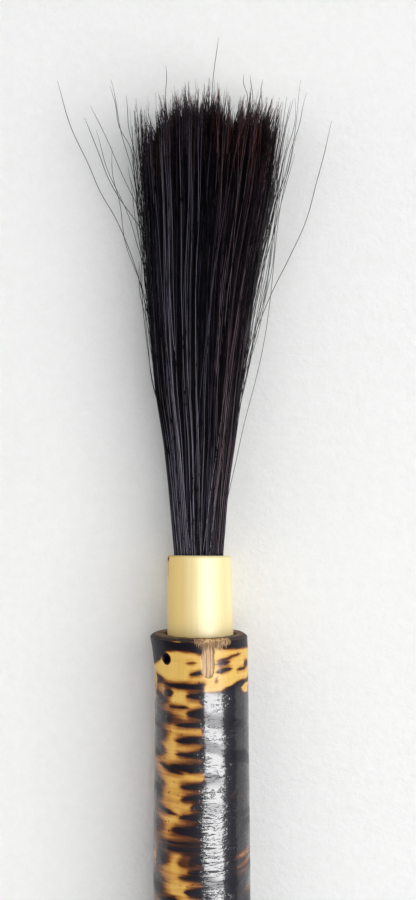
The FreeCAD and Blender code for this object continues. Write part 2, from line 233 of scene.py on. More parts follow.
class Recipe:
    """A node material, built a node at a time."""

    def __init__(self, name, roughness=0.5, **shader):
        self.material = bpy.data.materials.new(name)
        self.material.use_nodes = True
        self.tree = self.material.node_tree
        self.shader = self.tree.nodes["Principled BSDF"]
        self.shader.inputs["Roughness"].default_value = roughness
        for key, value in shader.items():
            self.shader.inputs[key.replace("_", " ")].default_value = value
        self.place = self.node("ShaderNodeTexCoord").outputs["Object"]

    def node(self, kind, inputs=(), **settings):
        """A new node with its settings, and values or links for its inputs."""
        made = self.tree.nodes.new(kind)
        for key, value in settings.items():
            setattr(made, key, value)
        for socket, value in dict(inputs).items():
            self.feed(made.inputs[socket], value)
        return made

    def feed(self, socket, value):
        """Give an input a constant, or a link from another node's output."""
        if isinstance(value, bpy.types.NodeSocket):
            self.tree.links.new(value, socket)
        else:
            socket.default_value = value

    def number(self, name):
        """A number kept at the mesh's vertices."""
        return self.node("ShaderNodeAttribute", attribute_name=name).outputs["Fac"]

    def stretched(self, x, y, z):
        """The object's coordinates, each axis with its own number of cells in a metre."""
        return self.node("ShaderNodeMapping", {"Vector": self.place, "Scale": (x, y, z)}).outputs["Vector"]

    def noise(self, cells, detail=3.0, roughness=0.55, distortion=0.0):
        """Smooth random values; cells says how many there are in a metre along x, y and z."""
        made = self.node("ShaderNodeTexNoise", {"Vector": self.stretched(*cells), "Scale": 1.0,
                                                "Detail": detail, "Roughness": roughness,
                                                "Distortion": distortion})
        return made.outputs["Fac"]

    def scaled(self, value, share, plus=0.0):
        """value * share + plus."""
        inputs = {0: value, 1: share, 2: plus}
        return self.node("ShaderNodeMath", inputs, operation="MULTIPLY_ADD").outputs[0]

    def rise(self, value, low, high):
        """0 below low and 1 above high, smooth between; low may be the larger one."""
        made = self.node("ShaderNodeMapRange", {"Value": value, "From Min": low, "From Max": high},
                         interpolation_type="SMOOTHSTEP")
        return made.outputs["Result"]

    def blend(self, share, a, b, kind="MIX"):
        """Colour a where share is 0, and b mixed in or multiplied in where it is 1."""
        made = self.node("ShaderNodeMix", {0: share, 6: a, 7: b}, data_type="RGBA", blend_type=kind)
        return made.outputs[2]

    def ramp(self, value, *stops):
        """A colour that changes along a value: stops are pairs of a value and a colour."""
        made = self.node("ShaderNodeValToRGB", {"Fac": value})
        while len(made.color_ramp.elements) < len(stops):
            made.color_ramp.elements.new(0.5)
        for element, (place, colour) in zip(made.color_ramp.elements, stops):
            element.position = place
        for element, (place, colour) in zip(made.color_ramp.elements, stops):
            element.color = colour
        return made.outputs["Color"]

    def colour(self, value):
        """Link the shader's colour."""
        self.feed(self.shader.inputs["Base Color"], value)

    def rough(self, value):
        """Link the shader's roughness."""
        self.feed(self.shader.inputs["Roughness"], value)

    def bump(self, height, depth, normal="Normal"):
        """Relief of a height from 0 to 1, depth metres deep, on the surface or on its coat."""
        made = self.node("ShaderNodeBump", {"Height": height, "Distance": depth})
        self.feed(self.shader.inputs[normal], made.outputs["Normal"])


# ---- handle: its burn marks

# Marks of the flame: from and to angle in degrees from the top (positive to +X),
# distance below the rim, half thickness and rise towards +X in mm, how dark from 0 to 1, and which
# end is blunt: "r" for the +X end, "l" for the -X end, "c" for neither.
BURN_MARKS = [
    (-22, -2, 6.1, 0.12, 0.2, 0.45, "c"), (-17, 3, 9.1, 0.32, 0.8, 0.9, "r"),
    (14, 62, 5.3, 0.14, 1.9, 0.55, "c"), (15, 42, 6.6, 0.2, 0.9, 0.9, "c"),
    (15, 44, 8.4, 0.22, 1.0, 0.9, "c"), (61, 80, 7.4, 0.5, 0.0, 0.9, "c"), (44, 72, 8.5, 0.2, 0.4, 0.7, "c"),
    (14, 20, 11.0, 0.35, 0.0, 0.4, "c"), (-70, -44, 11.3, 0.55, 0.1, 0.8, "l"),
    (-55, 4, 12.3, 0.65, -0.2, 0.95, "r"), (-54, -34, 14.4, 0.5, 0.0, 0.85, "c"),
    (-20, 4, 14.9, 0.65, 0.0, 1.0, "r"), (-72, -36, 16.4, 0.9, -0.5, 0.9, "l"),
    (-45, -14, 17.7, 0.25, 0.5, 0.8, "c"), (-18, 4, 19.4, 1.3, 0.4, 1.0, "r"),
    (-78, -17, 20.8, 1.3, -0.4, 0.9, "l"), (-36, 7, 22.4, 0.6, 0.1, 1.0, "r"),
    (-75, -38, 25.3, 1.4, 0.5, 0.85, "l"), (-35, 7, 26.5, 0.72, 0.2, 1.0, "r"),
    (-76, -42, 29.6, 1.1, -0.3, 0.85, "l"), (-32, 6, 30.1, 0.68, 0.2, 1.0, "r"),
    (-63, -18, 34.3, 0.32, -2.4, 0.8, "c"), (-42, 6, 33.4, 0.95, 0.3, 1.0, "r"),
    (-76, -42, 38.2, 0.9, -0.2, 0.8, "l"), (-27, 7, 38.5, 0.8, 0.3, 1.0, "r"),
    (-78, -46, 41.7, 1.0, 0.0, 0.85, "l"), (-24, 9, 41.4, 0.8, 1.0, 1.0, "r"),
    (-13, 7, 43.7, 1.1, 0.2, 1.0, "r"), (-84, -24, 45.0, 0.3, -2.6, 0.75, "c"),
    (-28, 7, 46.3, 0.85, 0.2, 1.0, "r"), (-40, 7, 49.9, 1.7, 0.3, 0.95, "r"),
    (-86, -40, 49.3, 1.8, 0.0, 0.7, "l"), (-66, 6, 53.4, 0.35, 0.5, 0.8, "r"),
    (-64, 6, 55.0, 0.5, 0.3, 0.9, "r"), (-66, -33, 58.0, 1.4, 0.2, 0.85, "l"),
    (-34, 0, 57.6, 1.5, 0.0, 0.45, "c"), (-16, 9, 57.4, 1.4, 0.0, 1.0, "r"),
    (-16, 9, 60.6, 0.55, 0.3, 1.0, "r"), (-27, 9, 62.3, 0.65, 0.3, 1.0, "r"),
    (-86, -37, 65.0, 2.8, 0.0, 0.85, "l"), (-18, 9, 66.0, 1.3, 0.0, 1.0, "r"),
    (-60, -20, 69.0, 0.9, 0.6, 0.8, "c"),
]


def more_marks(rng):
    """Marks like those above, on the rest of the handle: its lower part and its underside."""
    marks = []
    lanes = [(-30, 72.0, 196.0), (-105, 6.0, 196.0), (-165, 10.0, 196.0), (-215, 8.0, 196.0)]
    for middle, low, high in lanes:
        place = low
        while place < high:
            width = rng.uniform(14, 42)
            centre = middle + rng.uniform(-16, 16)
            thick = rng.choice([rng.uniform(0.4, 0.9), rng.uniform(1.0, 2.2)], p=[0.7, 0.3])
            marks.append((centre - width, centre + width, place, thick, rng.uniform(-1.0, 1.2),
                          rng.uniform(0.75, 1.0), rng.choice(["r", "l", "c"], p=[0.5, 0.25, 0.25])))
            place += thick * 2 + rng.uniform(1.6, 4.6)
    return marks


def angle_and_drop(places):
    """The angle from the top in radians and the distance below the rim in mm of points on the handle."""
    return np.arctan2(places[:, 0], places[:, 2]), (RIM - places[:, 1]) / MM


# Brown lines left in the black right side: from and to angle, distance below the rim, half
# thickness, rise and strength.
PALE_LINES = [
    (34, 96, 57.2, 0.5, 1.4, 0.6), (30, 100, 59.6, 0.35, 2.0, 0.65), (36, 92, 61.6, 0.3, 1.2, 0.5),
    (54, 88, 13.7, 0.9, 0.6, 1.4), (64, 104, 24.5, 0.5, 0.8, 0.5), (52, 96, 66.4, 0.4, 1.0, 0.5),
]


def more_pale_lines(rng):
    """Faint brown lines on the rest of the black side."""
    lines = []
    for place in np.arange(30.0, 196.0, 5.2):
        low = rng.uniform(18, 110)
        lines.append((low, low + rng.uniform(25, 60), place + rng.uniform(-2, 2), rng.uniform(0.2, 0.6),
                      rng.uniform(-1, 2), rng.uniform(0.15, 0.45)))
    return lines


BLURRED_END = 0.9
HAZE = 0.54


def mark_strength(degrees, drop, mark):
    """How much one mark burns each point: a thin black lens, and a wider brown haze round it."""
    low, high, middle, thick, rise, dark, blunt = mark
    u = ((degrees - (low + high) / 2 + 180) % 360 - 180) * 2 / (high - low)
    if blunt == "r":
        shape = np.clip((u + 1) / 2, 0, 1) ** 0.85
        ends = smooth(-1.25, -0.6, u) * smooth(1.2, 0.9, u)
    elif blunt == "l":
        shape = np.clip((1 - u) / 2, 0, 1)
        ends = smooth(1.15, -0.3, u) * smooth(-1.2, -0.9, u)
    else:
        shape = np.clip(1 - u * u, 0, 1)
        ends = smooth(1.1, 0.3, np.abs(u))
    off = np.abs(drop - (middle - rise * u / 2)) - 0.95 * thick * shape
    blurred = BLURRED_END if blunt == "l" else 0.0
    core = smooth((0.3 + 0.45 * thick) * (0.45 + 0.55 * shape) + blurred, 0, off)
    haze = smooth(1.2 + 1.1 * thick + blurred, 0, off)
    return dark * ends * core, dark * ends * haze


def burn_field(places):
    """How burnt the skin is: 0 is gold and 1 is black. The small hole's wall is set to 1 as painted shade."""
    angle, drop = angle_and_drop(places)
    degrees = np.degrees(angle)
    drop = drop + 0.22 * waves(11, 9, 6, 22)(angle, drop) + 0.08 * waves(12, 9, 20, 60)(angle, drop)
    degrees = degrees + 2.0 * waves(15, 8, 3, 40)(angle, drop)
    base = 0.12 + 0.0016 * drop + 0.08 * waves(16, 9, 3, 16)(angle, drop) + 0.24 * smooth(-30, -75, degrees)
    black, clear = np.zeros(len(places)), 1 - base * smooth(9, 16, drop)
    for mark in BURN_MARKS + more_marks(np.random.default_rng(5)):
        core, haze = mark_strength(degrees, drop, mark)
        black = np.maximum(black, core)
        clear = clear * (1 - HAZE * haze)
    black_from = 4 + 1.6 * waves(13, 8, 2, 30)(angle, drop)
    black_to = 158 + 9 * waves(14, 8, 2, 8)(angle, drop)
    black_top = np.interp(degrees, [0, 26, 45, 76, 110, 160], [14.4, 14.0, 11.9, 11.5, 9.0, 12.0])
    side = smooth(black_from - 9, black_from + 2, degrees) * smooth(black_to + 8, black_to - 3, degrees)
    side = side * smooth(black_top - 1.1, black_top + 0.4, drop)
    for low, high, middle, thick, rise, strength in PALE_LINES + more_pale_lines(np.random.default_rng(6)):
        core, haze = mark_strength(degrees, drop, (low, high, middle, thick, rise, strength, "c"))
        side = side - 0.5 * core - 0.3 * haze
    burn = np.maximum(1 - clear * (1 - 0.9 * black), side)
    # The small hole's wall is painted black here: painted shade.
    return np.maximum(np.maximum(burn, rim_band(degrees, drop)), painted_hole_shade(places))


def painted_hole_shade(places):
    """1 on the wall of the small hole: painted shade, the dark of the deep hole painted black."""
    across = np.hypot(places @ HOLE_SIDEWAYS, places[:, 1] - RIM + HOLE_DROP * MM) / MM
    return smooth(1.75, 1.5, across) * (places @ HOLE_OUTWARD > 0)


def rim_band(degrees, drop):
    """The scorched band just below the sanded rim. It is widest on the left."""
    lower = np.interp(degrees, [-180, -110, -78, -60, -45, -28, -14, -4, 1, 8, 15, 30, 50, 80, 120, 180],
                      [4.0, 5.5, 7.2, 5.8, 3.0, 2.4, 2.9, 3.6, 3.6, 1.0, 1.6, 2.3, 2.6, 3.0, 3.6, 4.0])
    return 0.95 * smooth(0.3, 0.8, drop) * smooth(lower + 1.5, lower - 0.3, drop)


# ---- handle: its shape

CULM_RADIUS = 13.0
SCAR_ANGLE, SCAR_HALF_WIDTH, SCAR_LENGTH, SCAR_ROUNDED_END = math.radians(8.0), 1.75, 10.2, 2.2
HOLE_ANGLE, HOLE_DROP, HOLE_RADIUS = math.radians(-46.0), 5.5, 1.2
HOLE_OUTWARD = np.array([math.sin(HOLE_ANGLE), 0, math.cos(HOLE_ANGLE)])
HOLE_SIDEWAYS = np.array([math.cos(HOLE_ANGLE), 0, -math.sin(HOLE_ANGLE)])
# Outside radius in mm at distances from the butt in mm. The flare of the mouth comes on top.
CULM_PLACES = (0.0, 0.35, 1.0, 1.8, 3.2, 5.0, 6.2, 7.3, 8.4, 9.8, 12, 70, 137, 165, 182, 190, 205)
CULM_RADII = (12.25, 12.6, 12.88, 13.02, 13.08, 13.0, 12.84, 12.72, 12.8, 12.98, 13.05, 13.06, 13.04,
              12.86, 12.62, 12.5, 12.48)
BUTT_ROWS, SKIN_ROWS, BEVEL_ROWS, FACE_ROWS, BORE_ROWS = 10, 380, 5, 9, 12
CULM_COLUMNS = 232
BEVEL_DEPTH, BEVEL_WIDTH = 0.85, 0.75
SKIN_TOP = RIM / MM - BEVEL_DEPTH
SCAR_SINK = 0.42
CULM_GRAIN = waves(24, 14, 60, 1)
SOCKET_RADIUS, SOCKET_SHIFT, SOCKET_DEPTH = 9.5, -0.35, 17.0
HOLLOW_RADIUS, DIAPHRAGM = 9.0, 7.0


def scar_places(angle, drop):
    """How far a point is from the bud scar's middle line, and into its rounded end: 1 is its edge."""
    across = (angle - SCAR_ANGLE) * CULM_RADIUS / SCAR_HALF_WIDTH
    return across, np.clip((drop - SCAR_LENGTH + SCAR_ROUNDED_END) / SCAR_ROUNDED_END, 0, None)


def scar_depth(angle, drop):
    """0 outside the bud scar and 1 in its middle."""
    across, end = scar_places(angle, drop)
    across = across + 0.07 * np.sin(drop * 1.7)
    return smooth(1.08, 0.72, np.sqrt(across ** 2 * (1 + 0.25 * smooth(6, 0, drop)) + end ** 2))


def skin_radius(angle, along):
    """Radius of the culm's outside in mm at a distance from the butt in mm."""
    drop = RIM / MM - along
    radius = np.interp(along, CULM_PLACES, CULM_RADII)
    flare = np.clip(1 - drop / 15.0, 0, 1) ** 2 * (0.62 - 0.86 * np.sin(angle))
    uneven = 0.05 * waves(21, 7, 3, 2)(angle, along) + 0.012 * waves(22, 10, 30, 3)(angle, along)
    dents = 0.02 * waves(23, 12, 12, 22)(angle, along) * smooth(3, 12, along)
    return radius + flare + uneven + dents


def culm_angles():
    """Angles round the culm, closer together at the bud scar and at the hole."""
    angle = np.linspace(-math.pi, math.pi, 4001)
    density = (1 + 2.6 * np.exp(-((angle - SCAR_ANGLE) / 0.16) ** 2)
               + 1.4 * np.exp(-((angle - HOLE_ANGLE) / 0.14) ** 2))
    total = np.concatenate([[0], np.cumsum((density[1:] + density[:-1]) / 2)])
    return np.interp(np.arange(CULM_COLUMNS) / CULM_COLUMNS, total / total[-1], angle)


# Each of the next five functions gives rows of the culm's surface: radius, sideways shift of the middle
# and distance from the butt, all in mm.

def butt_rows(angle):
    """The sawn end, slightly rough in its middle."""
    share = steps(BUTT_ROWS, 1)
    rough = 0.05 + 0.035 * CULM_GRAIN(angle, 9 * share) * smooth(1, 0.6, share)
    return skin_radius(angle, 0) * share, 0, rough


def skin_rows(angle):
    """The outside, with its rows closer together towards the mouth."""
    along = np.interp(np.arange(SKIN_ROWS) / (SKIN_ROWS - 1), [0, 0.37, 0.84, 1],
                      [0, SKIN_TOP - 76, SKIN_TOP - 12, SKIN_TOP])[:, None]
    drop = RIM / MM - along
    sunk = SCAR_SINK * scar_depth(angle, drop) * (1 - 0.35 * smooth(0, 9, drop))
    return skin_radius(angle, along) - sunk, 0, along


def bevel_rows(angle):
    """The worn edge between the outside and the end grain."""
    share = steps(BEVEL_ROWS)
    worn = BEVEL_WIDTH * (1 + 0.3 * waves(25, 8, 9, 1)(angle, 0)) * share ** 1.6
    edge = skin_radius(angle, SKIN_TOP + BEVEL_DEPTH * share)
    sunk = SCAR_SINK * scar_depth(angle, 0.5) * (1 - share)
    frayed = 0.05 * CULM_GRAIN(angle, 40 * share) * smooth(1, 0.3, share)
    return edge - worn - sunk + frayed, 0, SKIN_TOP + BEVEL_DEPTH * share


def face_rows(angle):
    """The end grain at the mouth, from the bevel in to the socket."""
    share = steps(FACE_ROWS)
    outer = skin_radius(angle, RIM / MM) - BEVEL_WIDTH
    inner = SOCKET_RADIUS + 0.08 * waves(26, 8, 14, 1)(angle, 0)
    rough = RIM / MM + 0.05 * CULM_GRAIN(angle, 30 * share)
    return outer + (inner - outer) * share, SOCKET_SHIFT * share, rough


def bore_rows(angle):
    """The socket's wall, the step at its bottom and the closed hollow below it."""
    share = np.arange(BORE_ROWS)[:, None] / (BORE_ROWS - 1)
    floor = RIM / MM - DIAPHRAGM
    depth = np.interp(share, [0, 0.25, 0.5, 0.58, 0.62, 0.95, 1.0],
                      [0.5, 4, SOCKET_DEPTH - 0.2, SOCKET_DEPTH, SOCKET_DEPTH + 0.5, floor - 1.5, floor])
    wall = np.interp(share, [0, 0.5, 0.58, 0.62, 0.95, 1.0],
                     [SOCKET_RADIUS, SOCKET_RADIUS, SOCKET_RADIUS - 0.1, HOLLOW_RADIUS,
                      HOLLOW_RADIUS - 0.3, HOLLOW_RADIUS - 2.0])
    shift = np.where(share < 0.6, SOCKET_SHIFT, 0)
    return wall + 0.03 * CULM_GRAIN(angle, 20 * share), shift, RIM / MM - depth


def make_culm(skin, end_grain, matt):
    """The bamboo handle as one closed mesh."""
    angle = culm_angles()
    sections = ((butt_rows, BUTT_ROWS), (skin_rows, SKIN_ROWS), (bevel_rows, BEVEL_ROWS),
                (face_rows, FACE_ROWS), (bore_rows, BORE_ROWS))
    places = []
    for rows, count in sections:
        radius, shift, along = rows(angle)
        axes = (shift + radius * np.sin(angle), np.maximum(along, 0), radius * np.cos(angle))
        places.append(np.stack([np.broadcast_to(axis, (count, CULM_COLUMNS)) for axis in axes], -1))
    slots = np.repeat([1, 0, 2, 1, 1], [count for _, count in sections])
    culm = turned_piece("burnt_culm", np.concatenate(places) * MM, [skin, end_grain, matt], slots)
    drill_hole(culm)
    return culm


def drill_hole(culm):
    """Drill the small round hole in the wall near the rim, a little ragged at its edge."""
    sides, depth = 40, 4.2
    angle = np.linspace(0, 2 * math.pi, sides, endpoint=False)
    uneven = 1 + 0.04 * np.sin(3 * angle + 1) + 0.025 * np.sin(7 * angle)
    rings = []
    for reach, radius in ((13.0 - depth, 0.92), (12.2, 0.97), (12.75, 1.0), (13.6, 1.16)):
        ring = (HOLE_OUTWARD * reach
                + np.outer(np.cos(angle) * uneven * radius * HOLE_RADIUS, HOLE_SIDEWAYS)
                + np.outer(np.sin(angle) * uneven * radius * HOLE_RADIUS, (0, 1, 0)))
        rings.append(ring + np.array([0, RIM / MM - HOLE_DROP, 0]))
    vertices = np.concatenate(rings) * MM
    drill = mesh_piece("drill", vertices, capped_faces(len(rings), sides))
    face_outwards(drill.data)
    face_outwards(culm.data)
    cut = culm.modifiers.new("hole", "BOOLEAN")
    cut.operation, cut.object, cut.solver = "DIFFERENCE", drill, "EXACT"
    whole = bpy.context.evaluated_depsgraph_get()
    drilled = bpy.data.meshes.new_from_object(culm.evaluated_get(whole))
    culm.modifiers.clear()
    culm.data = drilled
    bpy.data.objects.remove(drill)


def sanded(places):
    """Where the black skin is sanded or worn away: the scar, the rim and its frayed patch."""
    angle, drop = angle_and_drop(places)
    degrees = np.degrees(angle)
    ragged = 0.3 * waves(31, 12, 40, 30)(angle, drop) + 0.25 * waves(32, 12, 110, 50)(angle, drop)
    patch = np.interp(degrees, [-180, -62, -50, -44, -11, -6, 0, 10, 26, 35, 41, 180],
                      [-1.2, -1.2, -0.6, -1.0, -0.9, 1.2, 1.9, 2.4, 1.9, 0.8, -1.0, -1.2])
    bare = smooth(0.35, -0.3, drop - patch - ragged)
    return np.maximum(bare, smooth(0.05, 0.25, scar_depth(angle, drop)))


def sand_faces(culm):
    """Give the scar and the frayed patch at the rim the matt sanded material."""
    faces = culm.data.polygons
    slots = np.empty(len(faces), np.int32)
    faces.foreach_get("material_index", slots)
    matt = (sanded(places_of(faces, "center")) > 0.5) & (slots == 0)
    faces.foreach_set("material_index", np.where(matt, 2, slots).astype(np.int32))


def scar_edge(places):
    """The dark line on the wall round the bud scar's recess; painted shade makes it darker on its right side,
    where the wall faces away from the window light.
    """
    angle, drop = angle_and_drop(places)
    across, end = scar_places(angle, drop)
    ring = np.sqrt(across ** 2 + end ** 2)
    line = np.exp(-((ring - 1.06) / 0.14) ** 2) * smooth(SCAR_LENGTH + 1.5, SCAR_LENGTH + 0.2, drop)
    # Painted shade: the right side, whose wall faces away from the window light, is darker.
    return line * np.where(across > 0, 1.0, 0.6) * smooth(0.3, 1.8, drop)


def lacquer(places):
    """How thick the lacquer is: it is rubbed down near the rim, and thinner in bands below it."""
    angle, drop = angle_and_drop(places)
    whole = 0.2 + 0.72 * smooth(12.0, 15.5, drop + 0.8 * waves(33, 8, 8, 6)(angle, drop))
    bands = smooth(0.0, 1.1, waves(34, 9, 3, 15)(angle, drop) + 0.3 * waves(36, 9, 12, 50)(angle, drop))
    return whole * (1 - 0.55 * bands)


def cut_face(places):
    """1 in the middle of the butt's cut face and less towards its scorched edge."""
    across = np.hypot(places[:, 0], places[:, 2]) / MM
    return smooth(0.6, 0.2, places[:, 1] / MM) * smooth(12.6, 9.5, across)


# ---- handle: its materials

SKIN_RELIEF = 0.00016


def skin_material():
    """Bamboo skin, golden to scorched black, under a coat of lacquer that is duller in patches."""
    r = Recipe("burnt_bamboo_skin", 0.45, Coat_Roughness=0.15, Coat_IOR=1.5, Specular_IOR_Level=0.1)
    fibres = r.noise((1100, 26, 1100), detail=4.0)
    streaks = r.noise((120, 1500, 120), detail=4.0, distortion=0.3)
    cloud = r.noise((120, 210, 120), detail=3.0, distortion=0.5)
    speck = r.noise((900, 1100, 900), detail=1.0)
    cloudy, streaky = 0.22, 0.42
    # This number also carries the painted shade on the small hole's wall.
    burn = r.scaled(r.number("burn"), 1.0, -(cloudy + streaky) / 2)
    burn = r.scaled(streaks, streaky, r.scaled(cloud, cloudy, burn))
    burn = r.scaled(r.rise(speck, 0.68, 0.76), 0.25, burn)
    # The blackest stop is the scorched black tinted blue with a painted bluish sheen.
    tone = r.ramp(burn, (0.0, srgb(240, 198, 108)), (0.2, srgb(226, 174, 84)), (0.38, srgb(184, 122, 54)),
                  (0.55, srgb(108, 60, 30)), (0.74, srgb(50, 25, 16)), (0.93, srgb(17, 14, 25)))
    shade = r.blend(fibres, (0.78, 0.76, 0.72, 1), (1.0, 1.0, 1.0, 1))
    r.colour(r.blend(1.0, tone, shade, "MULTIPLY"))
    ridges = r.noise((150, 620, 150), detail=2.0)
    grain = r.noise((620, 1100, 620), detail=2.0, roughness=0.6)
    r.bump(r.scaled(ridges, 0.6, r.scaled(fibres, 0.4)), SKIN_RELIEF)
    dull = r.rise(r.noise((90, 420, 90), detail=3.0), 0.48, 0.66)
    relief = r.scaled(r.rise(grain, 0.5, 0.66), r.scaled(dull, 0.3, 0.16), ridges)
    r.bump(relief, SKIN_RELIEF, "Coat Normal")
    r.feed(r.shader.inputs["Coat Weight"], r.number("lacquer"))
    return r.material


def end_grain_material():
    """Cut bamboo: a pinkish tan with the dark dots of its vascular bundles."""
    r = Recipe("bamboo_end_grain", roughness=0.66)
    cells = r.node("ShaderNodeTexVoronoi", {"Vector": r.stretched(1700, 500, 1700), "Scale": 1.0,
                                            "Randomness": 0.85})
    dots = r.rise(cells.outputs["Distance"], 0.34, 0.2)
    cloud = r.noise((260, 260, 260), detail=4.0)
    tone = r.blend(r.rise(cloud, 0.3, 0.7), srgb(140, 104, 78), srgb(74, 50, 38))
    tone = r.blend(r.scaled(r.number("butt"), r.rise(cloud, 0.2, 0.7)), tone, srgb(196, 158, 108))
    r.colour(r.blend(r.scaled(dots, 0.6), tone, srgb(48, 28, 20)))
    r.bump(r.scaled(dots, -0.4, cloud), 0.00025)
    return r.material


def sanded_material():
    """The sanded rim, with torn fibres and what is left of the black skin."""
    r = Recipe("sanded_bamboo", roughness=0.6)
    fibres = r.noise((2300, 120, 2300), detail=4.0)
    tone = r.ramp(fibres, (0.36, srgb(112, 70, 38)), (0.47, srgb(186, 140, 90)), (0.66, srgb(232, 196, 146)))
    worn = r.scaled(fibres, 0.5, r.number("bare"))
    tone = r.blend(r.rise(worn, 0.95, 0.45), tone, srgb(34, 20, 15))
    # The dark line round the scar, with painted shade making its right side darker.
    r.colour(r.blend(r.number("scar_edge"), tone, srgb(40, 20, 12)))
    r.bump(fibres, 0.0003)
    return r.material


def make_rim_fibres(material):
    """Torn fibres that hang from the sanded rim over the frayed patch and beside the scar."""
    rng = np.random.default_rng(35)
    count, points = 150, 7
    degrees = rng.uniform(-8, 37, count)
    reach = np.interp(degrees, [-8, -3, 4, 12, 26, 37], [0.5, 1.8, 2.4, 2.7, 2.5, 0.9])
    length = reach * rng.uniform(0.35, 1.15, count)
    t = np.linspace(0, 1, points)
    drop = BEVEL_DEPTH * 0.6 + length[:, None] * t
    angle = np.radians(degrees)[:, None] + rng.normal(0, 0.02, (count, 1)) * t
    lift = rng.uniform(0.0, 0.18, (count, 1)) * np.sin(t * math.pi) + 0.03
    near = skin_radius(angle, RIM / MM - drop) - 0.45 * scar_depth(angle, drop) * smooth(1.2, 0.6, t)
    radius = near + lift - BEVEL_WIDTH * smooth(BEVEL_DEPTH, 0, drop)
    paths = np.stack([radius * np.sin(angle), RIM / MM - drop, radius * np.cos(angle)], -1)
    radii = np.broadcast_to(rng.uniform(0.05, 0.1, (count, 1)) * (1 - 0.7 * t), (count, points))
    fibres = strands("rim_fibres", paths * MM, radii * MM, rng.random(count), material, sides=4)
    on_handle(fibres, "burnt_bamboo")


def fibre_material():
    """Torn bamboo fibres, straw to brown."""
    r = Recipe("torn_fibres", roughness=0.6)
    tone = r.blend(r.number("shade"), srgb(120, 76, 42), srgb(230, 190, 134))
    r.colour(r.blend(r.scaled(r.noise((900, 900, 900)), 0.5), tone, srgb(110, 70, 38)))
    return r.material


# ---- ferrule and glue

FERRULE_COLUMNS, LIP_ROWS, INSIDE_ROWS = 200, 12, 10
FERRULE_RADIUS, FERRULE_WALL_IN, FERRULE_INSIDE, FERRULE_VISIBLE = 8.7, 6.85, 15.0, 20.8
FERRULE_LENGTH = FERRULE_INSIDE + FERRULE_VISIBLE
LEAN, SLANT_UP, SLANT_ACROSS = math.radians(1.0), math.radians(4.0), math.radians(1.4)
STAIN_ANGLE, STAIN_DROP = math.radians(-72.0), 1.0


def ferrule_rows(angle):
    """Radius and distance from the foot in mm of the ferrule's outside, lip and inside."""
    along = np.concatenate([np.linspace(0, FERRULE_LENGTH - 1.2, 84),
                            np.linspace(FERRULE_LENGTH - 1.12, FERRULE_LENGTH - 0.1, 14)])[:, None]
    row = np.arange(len(along))[:, None]
    taper_at = [0, FERRULE_INSIDE, FERRULE_LENGTH - 8, FERRULE_LENGTH]
    outer = np.interp(along, taper_at, [8.8, 8.88, 8.74, 8.64]) + 0.03 * waves(41, 6, 3, 3)(angle, row)
    outer = outer + 0.012 * waves(42, 12, 34, 1)(angle, row)
    edge = np.clip((along - FERRULE_LENGTH + 0.75) / 0.75, 0, 1)
    outer = outer - 0.55 * (1 - np.sqrt(np.clip(1 - edge ** 2, 0, 1)))
    inner = FERRULE_WALL_IN + 0.06 * waves(43, 6, 5, 1)(angle, 0)
    over, down = steps(LIP_ROWS), steps(INSIDE_ROWS)
    radius = np.concatenate([outer, outer[-1] + (inner - outer[-1]) * over, inner + 0 * down])
    lip = FERRULE_LENGTH + 0.12 * np.sin(over * math.pi) - 0.25 * smooth(0.75, 1, over)
    bore = FERRULE_LENGTH - 0.3 - (FERRULE_LENGTH - 0.3) * down
    along = np.concatenate([along, lip, bore])
    from_chip = (angle - STAIN_ANGLE + math.pi) % (2 * math.pi) - math.pi
    chip = np.exp(-(from_chip * FERRULE_RADIUS / 0.5) ** 2 - ((FERRULE_LENGTH - along - 0.7) / 0.5) ** 2)
    radius[:-INSIDE_ROWS] -= 0.35 * chip[:-INSIDE_ROWS]
    return radius, along


def make_ferrule(material):
    """Pale bamboo tube: tapered outside, slanted and rounded mouth, a chip with a stain on it."""
    angle = np.linspace(0, 2 * math.pi, FERRULE_COLUMNS, endpoint=False)
    radius, along = ferrule_rows(angle)
    x, z = radius * np.sin(angle), radius * np.cos(angle)
    slant = smooth(FERRULE_INSIDE, FERRULE_LENGTH, along)
    along = along + slant * (z * math.tan(SLANT_UP) - x * math.tan(SLANT_ACROSS))
    leaned_x = SOCKET_SHIFT + x * math.cos(LEAN) - (along - FERRULE_INSIDE) * math.sin(LEAN)
    leaned_y = RIM / MM + x * math.sin(LEAN) + (along - FERRULE_INSIDE) * math.cos(LEAN)
    vertices = np.stack([leaned_x, leaned_y, z], -1).reshape(-1, 3) * MM
    faces = ring_faces(len(radius), FERRULE_COLUMNS)[:, ::-1]
    ferrule = mesh_piece("pale_ferrule", vertices, faces.tolist(), [material])
    add_numbers(
        ferrule,
        stain=ferrule_stain,
        low=lambda places: smooth(7.5, 0.0, (places[:, 1] - RIM) / MM),
        # Painted shade: 1 on the left side, away from the window light, and 0 on the right.
        tanned=lambda places: smooth(0.5, -8.0, places[:, 0] / MM),
    )
    return ferrule


def ferrule_stain(places):
    """The dark stain on the chip, and the paler run below it."""
    angle = np.arctan2(places[:, 0] - MOUTH.x, places[:, 2])
    drop = (MOUTH.y - places[:, 1]) / MM
    across = (angle - STAIN_ANGLE) * FERRULE_RADIUS
    dot = 1.2 * np.exp(-((across + 0.1) / 0.75) ** 2 - ((drop - STAIN_DROP + 0.4) / 0.75) ** 2)
    run = 0.6 * np.exp(-((across + 0.3) / 0.5) ** 2) * smooth(0, 1.2, drop) * smooth(9.0, 3.0, drop)
    return np.maximum(dot, run)


